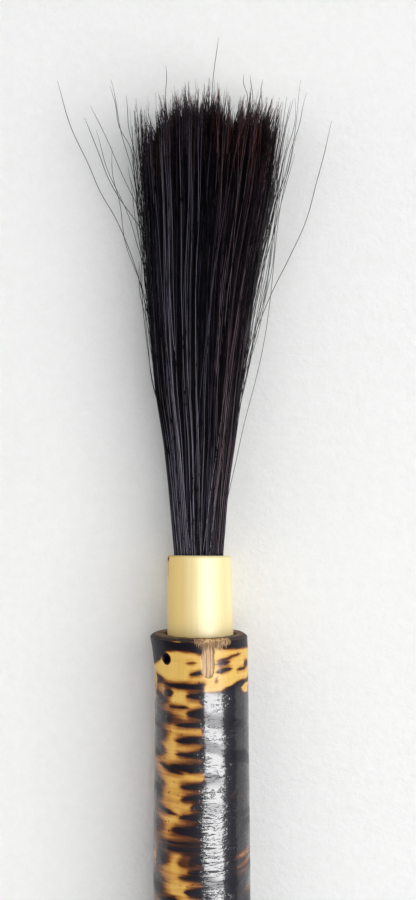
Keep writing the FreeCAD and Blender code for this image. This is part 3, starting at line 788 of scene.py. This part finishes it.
def ferrule_material():
    """Peeled pale bamboo: cream, with fine straight fibres, a greyer foot, and painted shade that makes its
    left side darker and more saturated.
    """
    r = Recipe("pale_bamboo_peeled", roughness=0.5, Coat_Weight=0.1, Coat_Roughness=0.3)
    fibres = r.noise((1300, 22, 1300), detail=4.0)
    broad = r.noise((260, 12, 260), detail=2.0)
    tone = r.blend(fibres, srgb(240, 218, 150), srgb(252, 242, 190))
    tone = r.blend(r.rise(broad, 0.42, 0.68), tone, srgb(246, 218, 160))
    # Painted shade: the left side, away from the window light, darker and more saturated.
    tone = r.blend(r.scaled(r.number("tanned"), 0.85), tone, srgb(226, 190, 108))
    tone = r.blend(r.scaled(r.number("low"), 0.45), tone, srgb(206, 184, 124))
    tone = r.blend(r.rise(r.number("stain"), 0.12, 0.6), tone, srgb(176, 106, 44))
    tone = r.blend(r.rise(r.number("stain"), 0.62, 0.9), tone, srgb(48, 26, 14))
    r.colour(tone)
    r.rough(r.scaled(fibres, 0.2, 0.42))
    r.bump(fibres, 0.00012)
    return r.material


def make_glue(material):
    """Glue between the ferrule and the socket: it stands high at the top and the underside, and has
    shrunk to a dark gap at both sides."""
    columns, rows, foot = 160, 14, -13.5
    inner, outer = 8.92, 9.47
    angle = np.linspace(0, 2 * math.pi, columns, endpoint=False)
    row, turn = np.meshgrid(np.arange(rows), angle, indexing="ij")
    level = -0.35 - 1.6 * smooth(0.62, 0.95, np.abs(np.sin(turn))) + 0.16 * waves(51, 8, 9, 1)(turn, 0)
    share = row / (rows - 1)
    radius = inner + (outer - inner) * smooth(0.15, 0.85, share)
    sag = -0.3 * np.sin(share * math.pi)
    height = np.where((row == 0) | (row == rows - 1), foot, level + sag)
    places = np.stack([SOCKET_SHIFT + radius * np.sin(turn), RIM / MM + height, radius * np.cos(turn)], -1)
    faces = ring_faces(rows, columns).tolist()
    return mesh_piece("glue_meniscus", places.reshape(-1, 3) * MM, faces, [material])


def glue_material(name, light, dark):
    """Amber glue or rosin with cloudy streaks and dust."""
    r = Recipe(name, roughness=0.3, Coat_Weight=0.5, Coat_Roughness=0.15)
    cloud = r.noise((600, 600, 600), detail=4.0, distortion=1.0)
    r.colour(r.blend(r.rise(cloud, 0.3, 0.7), light, dark))
    r.rough(r.scaled(cloud, 0.35, 0.15))
    r.bump(cloud, 0.0003)
    return r.material


def thread_material():
    """Waxed thread with its twist."""
    r = Recipe("waxed_thread", roughness=0.55)
    twist = r.node("ShaderNodeTexWave", {"Vector": r.stretched(1400, 1400, 1400), "Scale": 1.0,
                                         "Distortion": 2.0, "Detail": 2.0}, bands_direction="DIAGONAL")
    r.colour(r.blend(twist.outputs["Fac"], srgb(150, 132, 96), srgb(214, 198, 160)))
    r.bump(twist.outputs["Fac"], 0.0001)
    return r.material


# ---- tuft

TUFT_LENGTH = 124.0
# The tuft's outline in mm: distance from the mouth, left and right edges, lower and upper sides.
OUTLINE = np.array([
    (-8, -6.4, 6.3, -6.4, 6.4), (0, -6.6, 6.4, -6.6, 6.6), (16, -8.0, 7.7, -7.8, 7.5),
    (30, -9.3, 9.4, -9.2, 8.4), (44, -11.2, 10.8, -10.8, 9.3), (58, -12.2, 12.3, -12.3, 10.0),
    (71, -12.9, 13.6, -13.6, 10.6), (86, -13.5, 16.2, -14.2, 11.3), (96, -14.1, 18.0, -14.4, 11.6),
    (106, -14.8, 19.2, -14.4, 11.8), (115, -15.2, 20.6, -14.4, 11.9), (130, -15.8, 22.0, -14.4, 12.0),
])
# How far the tips reach at places across the tuft, both in mm.
TIPS_ACROSS = (-18, -15.5, -12, -8, -4, 1, 6, 10.5, 14, 18, 23)
TIPS_REACH = (112, 116, 119.5, 122.5, 124.4, 125, 125, 119.8, 123.6, 123.2, 122.5)
# Thickness of the hairs, as radii in mm.
HAIR_RADIUS, MANTLE_RADIUS, SPIKE_RADIUS, EDGE_RADIUS = 0.1, 0.086, 0.09, 0.08
CROSSING_RADIUS, GLOSSY_RADIUS, LONG_STRAY_RADIUS, FINE_STRAY_RADIUS = 0.075, 0.052, 0.11, 0.075


def across_tuft(share, angle, along):
    """Points in the tuft's cross-section: share of the way out from its middle, angle, and distance
    from the mouth. Returns x and z in mm from the mouth's centre."""
    left, right, low, high = (np.interp(along, OUTLINE[:, 0], OUTLINE[:, k]) for k in range(1, 5))
    x = (left + right) / 2 + (right - left) / 2 * share * np.cos(angle)
    z = (low + high) / 2 + (high - low) / 2 * share * np.sin(angle)
    return x, on_table(z, share)


def on_table(z, share):
    """Keep hairs above the table, the outer ones lowest."""
    lowest = FLOOR / MM + 0.14 + 1.2 * np.clip(1 - share, 0, 1)
    return np.maximum(z, lowest)


def wandering(rng, count, points, travel, size):
    """Slow sideways wandering of each hair, in radians round the tuft."""
    total = np.zeros((count, points))
    for wave in range(1, 4):
        swing = rng.normal(0, size / wave, count)[:, None]
        rate, phase = rng.uniform(1.5, 5.0, count)[:, None] * wave, rng.uniform(0, 6.3, count)[:, None]
        total += swing * np.sin(travel * rate + phase) * np.clip(travel, 0, 2) ** 0.7
    return total


def clump_of(angle, share, rng):
    """Number the clumps of neighbouring hairs, and give each hair its clump's middle."""
    jitter = 0.12 * rng.normal(size=(2, len(angle)))
    cells = np.round(np.stack([angle / 0.15, share / 0.18]) + jitter).astype(int)
    keys, member = np.unique(cells[0] * 37 + cells[1] * 1013, return_inverse=True)
    total = np.bincount(member)
    sine, cosine, middle_share = (np.bincount(member, values) / total
                                  for values in (np.sin(angle), np.cos(angle), share))
    return len(keys), member, np.arctan2(sine, cosine)[member], middle_share[member]


def lengthways(start, reach, points):
    """Even steps along hairs from start to reach in mm: the share of the hair's own length, the distance
    from the mouth, and that as a share of the tuft's length."""
    t = np.linspace(0, 1, points)
    along = start + (reach[:, None] - start) * t
    return t, along, np.clip(along / TUFT_LENGTH, 0, 1.1)


def crimped(rng, x, z, along, lengths, sizes, grown, z_rate):
    """Places of hairs with a fine regular crimp: each draws its wave length and size from two ranges."""
    shape = (len(x), 1)
    length, phase = rng.uniform(*lengths, shape), rng.uniform(0, 6.3, (2, *shape))
    crimp = rng.uniform(*sizes, shape) * grown
    x = x + crimp * np.sin(along / length * 2 * math.pi + phase[0])
    z = z + crimp * np.sin(along / length * z_rate * math.pi + phase[1])
    return np.stack([x, along, on_table(z, 1.0)], -1)


def hair_paths(rng, count, points, inner, outer, start):
    """Random hairs that follow the tuft's outline from a distance from the mouth to their tips.
    inner and outer are shares of the way out. They wander, cross each other and gather in clumps."""
    angle = rng.uniform(0, 2 * math.pi, count)
    share = np.sqrt(rng.uniform(inner ** 2, outer ** 2, count))
    tip_x, _ = across_tuft(share, angle, np.full(count, TUFT_LENGTH))
    clumps, member, middle_angle, middle_share = clump_of(angle, share, rng)
    reach = np.interp(tip_x, TIPS_ACROSS, TIPS_REACH) - 3.8 - rng.gamma(2.6, 1.9, clumps)[member]
    reach = np.minimum(reach - rng.gamma(1.3, 1.1, count), 131.0)
    _, along, travel = lengthways(start, reach, points)
    drift = rng.normal(0, 0.11, count)[:, None] * travel
    angle_now = angle[:, None] + drift + wandering(rng, count, points, travel, 0.05)
    share_now = share[:, None] * (1 + rng.normal(0, 0.018, count)[:, None] * travel)
    gather = 0.85 * smooth(0.8, 0.98, travel)
    turn = (middle_angle[:, None] - angle_now + math.pi) % (2 * math.pi) - math.pi
    angle_now = angle_now + gather * turn
    share_now = share_now + gather * (middle_share[:, None] - share_now)
    x, z = across_tuft(share_now, angle_now, along)
    lean = rng.normal(0, 0.9, clumps)[member][:, None] + rng.normal(0, 0.25, (count, 1))
    x = x + lean * smooth(0.86, 1.03, travel) ** 1.5
    return np.stack([x, along, z], -1)


def crossing_paths(rng, count, points):
    """Hairs on the tuft's upper surface that cross the others as they fan out."""
    away = rng.normal(0, 0.62, count)
    angle = math.pi / 2 + away
    drift = rng.normal(0, 0.24, count) + 0.45 * away + rng.normal(0, 0.8, count) * (rng.random(count) < 0.45)
    reach = 124.0 - rng.gamma(2.0, 6.0, count)
    start = np.where(rng.random(count) < 0.7, -4.0, rng.uniform(5, 60, count))
    t, along, travel = lengthways(start[:, None], reach, points)
    angle_now = angle[:, None] + drift[:, None] * travel ** 0.8 + wandering(rng, count, points, travel, 0.04)
    dive = 0.05 * smooth(0.12, 0.0, t) + 0.06 * smooth(0.9, 1.0, t)
    x, z = across_tuft(1.004 - dive * (start > 0)[:, None], angle_now, along)
    return np.stack([x, along, z + 0.28 * smooth(4, 30, along)], -1)


def edge_paths(rng, count, points):
    """Crimped hairs at both sides of the tuft. They leave gaps that the table shows through."""
    side = np.where(rng.random(count) < 0.45, math.pi, 0.0)
    angle = side + rng.normal(0, 0.32, count)
    share = 1.0 + rng.gamma(1.3, 0.035, count)
    reach = 121.5 - rng.gamma(2.0, 5.0, count)
    _, along, travel = lengthways(-4.0, reach, points)
    opened = smooth(0.12, 0.62, travel)
    swell = 1 + 0.5 * np.sin(travel * 6 + rng.uniform(0, 6, (count, 1)))
    share_now = 1 + (share[:, None] - 1) * opened * swell
    angle_now = angle[:, None] + wandering(rng, count, points, travel, 0.08)
    x, z = across_tuft(share_now, angle_now, along)
    return crimped(rng, x, z, along, (3.0, 5.5), (0.03, 0.14), smooth(0.3, 0.6, travel), 1.9)


def spike_paths(rng, count, points, together):
    """Short crimped tips that stand out of the tuft's end, a few together."""
    clumps = count // together
    angle = np.repeat(rng.uniform(0, 2 * math.pi, clumps), together)
    share = np.repeat(np.sqrt(rng.uniform(0, 1, clumps)), together)
    tip_x, _ = across_tuft(share, angle, np.full(count, TUFT_LENGTH))
    reach = np.interp(tip_x, TIPS_ACROSS, TIPS_REACH) + 1.8 - np.repeat(rng.gamma(1.5, 1.6, clumps), together)
    reach = reach - rng.gamma(1.2, 1.3, count)
    t, along, _ = lengthways(106.0, reach, points)
    x, z = across_tuft(share[:, None], angle[:, None], along)
    spread = rng.normal(0, 0.6, (2, count, 1)) * (1 - 0.82 * smooth(0.4, 0.95, t))
    lean = np.repeat(rng.normal(0, 0.8, (2, clumps)), together, axis=1)[:, :, None] * t ** 2
    lean[0] += 0.07 * tip_x[:, None] * t ** 3
    x, z = x + spread[0] + lean[0], z + spread[1] + 0.6 * lean[1]
    return crimped(rng, x, z, along, (2.2, 4.2), (0.04, 0.17), smooth(0.1, 0.5, t), 1.8)


def taper(count, points, end=0.35, thick=HAIR_RADIUS, start=0.86):
    """Radii that thin out over the last part of each hair."""
    t = np.linspace(0, 1, points)
    return np.broadcast_to(thick * (1 - (1 - end) * smooth(start, 1.0, t)), (count, points))


def to_frame(paths):
    """From mm from the mouth's centre to the frame's metres."""
    return paths * MM + np.array(MOUTH)


def add_hair(name, paths, material, replaced=(), shades=None, sides=3, **thinning):
    """One piece of hair. Without shades most of its hairs are dark."""
    if shades is None:
        shades = np.random.default_rng(len(paths)).random(len(paths)) ** 7
    radii = taper(len(paths), paths.shape[1], **thinning)
    piece = strands(name, to_frame(paths), radii * MM, shades, material, sides)
    finish_hair(piece, replaced)


def finish_hair(piece, replaced=()):
    """Bake a hair piece's placing into its mesh, and hide the CAD nodes it stands in for."""
    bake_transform(piece)
    if replaced:
        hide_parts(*replaced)


# How many hairs each piece has. The mantle is three pieces of MANTLE_HAIRS each.
CORE_HAIRS, PADDING_HAIRS, MANTLE_HAIRS, EDGE_HAIRS = 2900, 900, 1550, 210
SPIKES_IN_SEVENS, SPIKES_IN_PAIRS = 700, 300
CROSSING_HAIRS, GLOSSY_HAIRS = 60, 40


def make_tuft(black, brown, glossy):
    """Core, padding and mantle of hair, then the looser hairs over them and at their edges."""
    rng = np.random.default_rng(2024)
    make_core_fill(black)
    tips = hair_paths(rng, CORE_HAIRS, 12, 0.0, 0.86, 84.0)
    add_hair("core_tips", tips, brown, ["tuft_core"], start=0.8)
    spikes = [spike_paths(rng, SPIKES_IN_SEVENS, 20, 7), spike_paths(rng, SPIKES_IN_PAIRS, 20, 2)]
    spikes = np.concatenate(spikes)
    add_hair("tip_spikes", spikes, brown, shades=rng.random(len(spikes)), end=0.25, thick=SPIKE_RADIUS,
             start=0.6)
    root, shorter, slimmer = -4.0, 0.72, 0.93
    padding = hair_paths(rng, PADDING_HAIRS, 12, 0.7, 0.84, root)
    padding[:, :, 1] = root + (padding[:, :, 1] - root) * shorter
    padding[:, :, [0, 2]] *= slimmer
    add_hair("padding_hair", padding, black, ["tuft_padding"])
    for letter, material in zip("abc", (black, black, brown)):
        mantle = hair_paths(rng, MANTLE_HAIRS, 19, 0.8, 1.0, -5.0)
        add_hair("mantle_hair_" + letter, mantle, material, ["tuft_mantle"], thick=MANTLE_RADIUS)
    crossing = crossing_paths(rng, CROSSING_HAIRS + GLOSSY_HAIRS, 26)
    add_hair("crossing_hair", crossing[:CROSSING_HAIRS], black, thick=CROSSING_RADIUS)
    # The glossy hairs are pale, mostly as painted highlight lines.
    add_hair("glossy_hair", crossing[CROSSING_HAIRS:], glossy, shades=rng.random(GLOSSY_HAIRS),
             thick=GLOSSY_RADIUS)
    add_hair("edge_hair", edge_paths(rng, EDGE_HAIRS, 84), black, thick=EDGE_RADIUS)


def make_core_fill(material):
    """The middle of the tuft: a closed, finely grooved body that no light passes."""
    columns, rows = 180, 90
    angle = np.linspace(0, 2 * math.pi, columns, endpoint=False)
    t, turn = np.meshgrid(np.linspace(0, 1, rows), angle, indexing="ij")
    foot, top = -12.0, 103.0
    along = foot + (top - foot) * t
    grooves = waves(61, 24, 60, 1.5)(turn, along)
    share = (0.80 + 0.02 * grooves) * np.sqrt(np.clip(1 - smooth(0.93, 1.0, t) ** 2 * 0.97, 0.0, 1))
    share = share * smooth(-0.02, 0.01, t)
    x, z = across_tuft(share, turn, along)
    vertices = to_frame(np.stack([x, along, z], -1).reshape(-1, 3))
    piece = mesh_piece("core_fill", vertices, capped_faces(rows, columns), [material])
    face_outwards(piece.data)
    for key, value in (("reach", 0.4), ("shade", 0.3)):
        store_number(piece.data, key, np.full(len(vertices), value))
    finish_hair(piece)


def hair_material(name, light, dark, tip, roughness, specular):
    """Horsehair: each hair has its own tone from dark to pale, and the pale tone is partly real pale hair and
    partly painted highlight lines.
    Hairs are painted lighter near the root as painted sheen, the tip is browner, and the tuft's right side is
    redder.
    """
    r = Recipe(name, roughness, Specular_IOR_Level=specular)
    reach, shade = r.number("reach"), r.number("shade")
    # Painted sheen: hairs near the root are painted lighter.
    root_sheen = r.scaled(r.rise(reach, 0.55, 0.12), 0.8, 0.7)
    # The pale tone is partly real pale hair and partly painted highlight lines.
    tone = r.blend(r.scaled(shade, root_sheen), dark, light)
    tone = r.blend(r.scaled(shade, r.rise(reach, 0.84, 1.0)), tone, tip)
    streaks = r.noise((2500, 40, 2500), detail=2.0)
    tone = r.blend(r.scaled(streaks, 0.4), tone, dark)
    side = r.node("ShaderNodeSeparateXYZ", {"Vector": r.place}).outputs["X"]
    redder = r.blend(1.0, tone, (1.3, 0.92, 0.82, 1), "MULTIPLY")
    r.colour(r.blend(r.rise(side, 0.0, 0.007), tone, redder))
    return r.material


# ---- stray hairs

# Loose hairs as points in mm from the mouth's centre: across, along and up.
LONG_STRAYS = [
    [(-13.0, 60, -8), (-15.4, 71, -9), (-18.4, 81.2, -9.4), (-23.5, 93.2, -9.8), (-27.0, 99.1, -9.9),
     (-30.9, 108, -9.6), (-35.2, 117, -9), (-39.0, 130, -8.6)],
    [(-13.0, 80, -6), (-15.8, 88.6, -6), (-18.6, 92.8, -6), (-21.4, 96.7, -6), (-24.4, 101.8, -5.6),
     (-27.6, 110.0, -5), (-31.2, 119, -4.6)],
    [(12.6, 50, -8), (16.5, 63.3, -9), (19.8, 71.4, -9.4), (24.9, 81.7, -9.8), (29.2, 91, -9.6),
     (32.6, 103.3, -9), (33.9, 108, -8.8), (36.4, 119, -8.4)],
]
# Finer loose hairs near the tuft's sides, in the same way.
SIDE_STRAYS = [
    [(-12.4, 76, 2), (-15.4, 90, 2), (-16.1, 94.6, 2), (-18.2, 103.4, 1), (-21.1, 115.7, 0),
     (-23.9, 128.2, 0)],
    [(-13.2, 84, 3), (-16.9, 100, 3), (-18.4, 109.5, 2), (-21.3, 115.0, 2), (-22.4, 121, 2), (-23.9, 126, 2)],
    [(-12.2, 60, -2), (-15.2, 72, -3), (-19.6, 83.1, -4), (-21.5, 94.7, -4), (-23.4, 103.3, -4),
     (-23.8, 111, -4)],
    [(-12.6, 66, -5), (-14.5, 76.9, -5), (-17.7, 87.5, -6), (-21.8, 98, -6), (-25.6, 107, -6),
     (-28.4, 116, -6)],
    [(-13.8, 92, 0), (-16.5, 105.7, 0), (-18.9, 115.3, 0), (-19.2, 119.1, 0), (-19.6, 124, 0)],
    [(7.4, 14, -3), (9.2, 22, -4), (12.1, 34.4, -5), (15.2, 47.2, -5), (18.5, 62, -5), (20.7, 84, -5),
     (22.8, 98, -5), (26.4, 117.3, -4), (27.6, 129, -4)],
    [(8.6, 28, -3), (10.8, 42, -4), (14.2, 54.7, -5), (17.1, 64.2, -5), (19.3, 76, -5), (21.4, 92, -5)],
    [(8.4, 26, -2), (10.6, 37.7, -3), (12.7, 47.2, -4), (14.6, 58, -4), (16.3, 69, -4), (18.9, 84, -4)],
    [(9.2, 32, -5), (12.3, 46, -6), (15.6, 60, -7), (18.4, 74, -7), (20.6, 90, -7), (22.6, 107, -7)],
    [(-8.6, 30, -3), (-12.4, 47, -4), (-14.5, 58, -5), (-15.1, 66.6, -5), (-15.7, 76, -5), (-16.8, 92, -5)],
    [(-9.0, 34, -1), (-12.2, 45.3, -2), (-13.8, 54.7, -3), (-14.3, 64.2, -3), (-14.0, 74, -3),
     (-14.9, 90, -3)],
    [(12.4, 52, -2), (17.4, 70, -3), (20.0, 84, -3), (23.9, 109.5, -3), (25.9, 117.3, -3), (26.0, 124, -3)],
    [(3.0, 104, 8), (3.4, 118, 9), (3.9, 127, 9), (5.1, 136.8, 9)],
    [(13.4, 108, 6), (12.9, 119, 7), (12.3, 124, 7), (11.6, 127.8, 7)],
    [(14.0, 112, 4), (14.4, 121, 4), (13.6, 128.2, 4)],
    [(16.0, 112, 4), (16.6, 121, 4), (16.8, 127.2, 4)],
    [(-7.8, 108, 6), (-8.8, 120, 7), (-8.6, 126, 7), (-8.7, 130.0, 7)],
]


def follow(points, count):
    """A smooth line of count points through given ones."""
    points = np.array(points, float)
    lengths = np.concatenate([[0], np.cumsum(np.linalg.norm(np.diff(points, axis=0), axis=1))])
    at = np.linspace(0, lengths[-1], count)
    slopes = np.gradient(points, lengths, axis=0)
    k = np.clip(np.searchsorted(lengths, at, side="right") - 1, 0, len(points) - 2)
    span = (lengths[k + 1] - lengths[k])[:, None]
    u = ((at - lengths[k]) / span[:, 0])[:, None]
    return ((2 * u ** 3 - 3 * u ** 2 + 1) * points[k] + (u ** 3 - 2 * u ** 2 + u) * span * slopes[k]
            + (-2 * u ** 3 + 3 * u ** 2) * points[k + 1] + (u ** 3 - u ** 2) * span * slopes[k + 1])


def fan_of_strays(rng, count, sign):
    """Random loose hairs beside the tuft: sign is -1 for the left side and 1 for the right."""
    hairs = []
    lowest, column = ((22, 82), 2) if sign > 0 else ((40, 92), 1)
    for _ in range(count):
        low = rng.uniform(*lowest)
        high = min(low + rng.uniform(34, 78), rng.uniform(104, 126))
        edge = np.interp([low, (low + high) / 2, high], OUTLINE[:, 0], OUTLINE[:, column])
        out = rng.gamma(2.0, 1.1)
        z = rng.uniform(-10, 3)
        hairs.append([(edge[0] - sign * 1.0, low, z), (edge[1] + sign * out * 0.45, (low + high) / 2, z),
                      (edge[2] + sign * out, high, z)])
    return hairs


def make_strays(material):
    """The few long hairs that stand furthest out, and the finer ones beside the tuft."""
    paths = np.array([follow(points, 40) for points in LONG_STRAYS])
    add_hair("long_stray_hairs", paths, material, ["stray_hairs"], np.full(len(paths), 0.5), sides=6,
             end=0.4, thick=LONG_STRAY_RADIUS)
    rng = np.random.default_rng(77)
    fine = SIDE_STRAYS + fan_of_strays(rng, 26, -1) + fan_of_strays(rng, 54, 1)
    paths = np.array([follow(points, 32) for points in fine])
    t = np.arange(32) / 32
    swing = rng.uniform(0.05, 0.3, (len(fine), 1)) * np.sin(t * rng.uniform(8, 26, (len(fine), 1)))
    paths[:, :, 0] += swing * smooth(0, 0.2, t)
    add_hair("fine_stray_hairs", paths, material, sides=4, end=0.4, thick=FINE_STRAY_RADIUS)


# ---- build the brush

def on_handle(piece, slot, *replaced):
    """Fix a piece to the handle, and let it stand in for a CAD node if it has one. The slot argument is not
    used.
    """
    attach(piece, "handle")
    if replaced:
        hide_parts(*replaced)


def build_handle():
    """The culm with its burn marks, the ferrule, the glue, and new materials for the hidden nodes."""
    culm = make_culm(skin_material(), end_grain_material(), sanded_material())
    add_numbers(culm, burn=burn_field, bare=sanded, scar_edge=scar_edge, butt=cut_face, lacquer=lacquer)
    on_handle(culm, "burnt_bamboo", "handle_culm")
    sand_faces(culm)
    make_rim_fibres(fibre_material())
    on_handle(make_ferrule(ferrule_material()), "pale_bamboo", "ferrule")
    amber = glue_material("amber_glue", srgb(150, 112, 44), srgb(74, 50, 22))
    on_handle(make_glue(amber), "amber_glue", "ferrule_glue")
    rosin = glue_material("root_rosin", srgb(120, 66, 22), srgb(50, 24, 10))
    for node, material in (("rosin_root_plug", rosin), ("seat_glue", amber),
                           ("root_binding_thread", thread_material())):
        mesh = frame["nodes"][node].data
        mesh.materials.clear()
        mesh.materials.append(material)


def make_floor():
    """A sheet of pale paper under the brush. It fills the view from above, but not low views."""
    r = Recipe("paper", roughness=0.9)
    fine = r.noise((380, 380, 380), detail=5.0, roughness=0.7)
    r.colour(r.blend(fine, srgb(236, 236, 234), srgb(246, 246, 245)))
    r.bump(fine, 0.0004)
    half, middle = 1.2, 0.2
    corners = [(x * half, middle + y * half, FLOOR) for x, y in ((-1, -1), (1, -1), (1, 1), (-1, 1))]
    mesh_piece("floor", corners, [(0, 1, 2, 3)], [r.material])


def build_stage():
    """The floor, soft lights of which the strongest is a window's at the upper right, and the camera."""
    make_floor()
    world = bpy.data.worlds.new("room")
    world.use_nodes = True
    sky = world.node_tree.nodes["Background"].inputs
    sky["Color"].default_value = (0.87, 0.93, 1.0, 1)
    sky["Strength"].default_value = 0.26
    bpy.context.scene.world = world
    above_right, right, left = (0.47, 0.06, 0.80), (0.95, 0.3, 0.36), (-0.75, 0.3, 0.66)
    soft_light("window_shine", above_right, (0.46, 0.80), 24.0, (1.0, 1.0, 1.0), "visible_diffuse")
    soft_light("window", above_right, (1.1, 1.1), 12.3, (1.0, 0.99, 0.98), "visible_glossy")
    soft_light("left_fill", left, (0.9, 1.2), 4.0, (1.0, 0.98, 0.95), "visible_glossy")
    soft_light("right_fill", right, (0.6, 1.2), 2.8, (1.0, 0.99, 0.97), "visible_glossy")
    camera = bpy.data.cameras.new("camera")
    camera.lens, camera.sensor_width = 56.5, 36.0
    view = bpy.data.objects.new("camera", camera)
    across, past_mouth, height = 1.7, 28.5, 380
    view.location = (across * MM, MOUTH.y + past_mouth * MM, height * MM)
    bpy.context.scene.collection.objects.link(view)
    bpy.context.scene.camera = view
    bpy.context.scene.view_settings.view_transform = "Standard"


def soft_light(name, place, size, power, colour, hidden):
    """A rectangular soft light that faces the brush. hidden is the kind of light it doesn't give."""
    light = bpy.data.lights.new(name, "AREA")
    light.shape, light.size, light.size_y = "RECTANGLE", *size
    light.energy, light.color = power, colour
    lamp = bpy.data.objects.new(name, light)
    lamp.location = place
    lamp.rotation_euler = (Vector((0.0, 0.16, 0.0)) - Vector(place)).to_track_quat("-Z", "Y").to_euler()
    setattr(lamp, hidden, False)
    bpy.context.scene.collection.objects.link(lamp)


build_stage()
build_handle()
make_tuft(
    # Pale tones: partly real pale hair and partly painted highlight lines, most of all on the glossy hairs.
    hair_material("horsehair_black", srgb(98, 91, 114), srgb(2, 1, 5), srgb(96, 72, 68), 0.4, 0.03),
    hair_material("horsehair_brown", srgb(92, 80, 94), srgb(3, 2, 5), srgb(160, 122, 106), 0.4, 0.03),
    hair_material("horsehair_glossy_painted_highlight", srgb(170, 164, 182), srgb(44, 40, 56), srgb(110, 92, 88), 0.32, 0.3),
)
make_strays(
    hair_material("horsehair_stray", srgb(58, 54, 58), srgb(24, 22, 26), srgb(70, 60, 58), 0.4, 0.4),
)
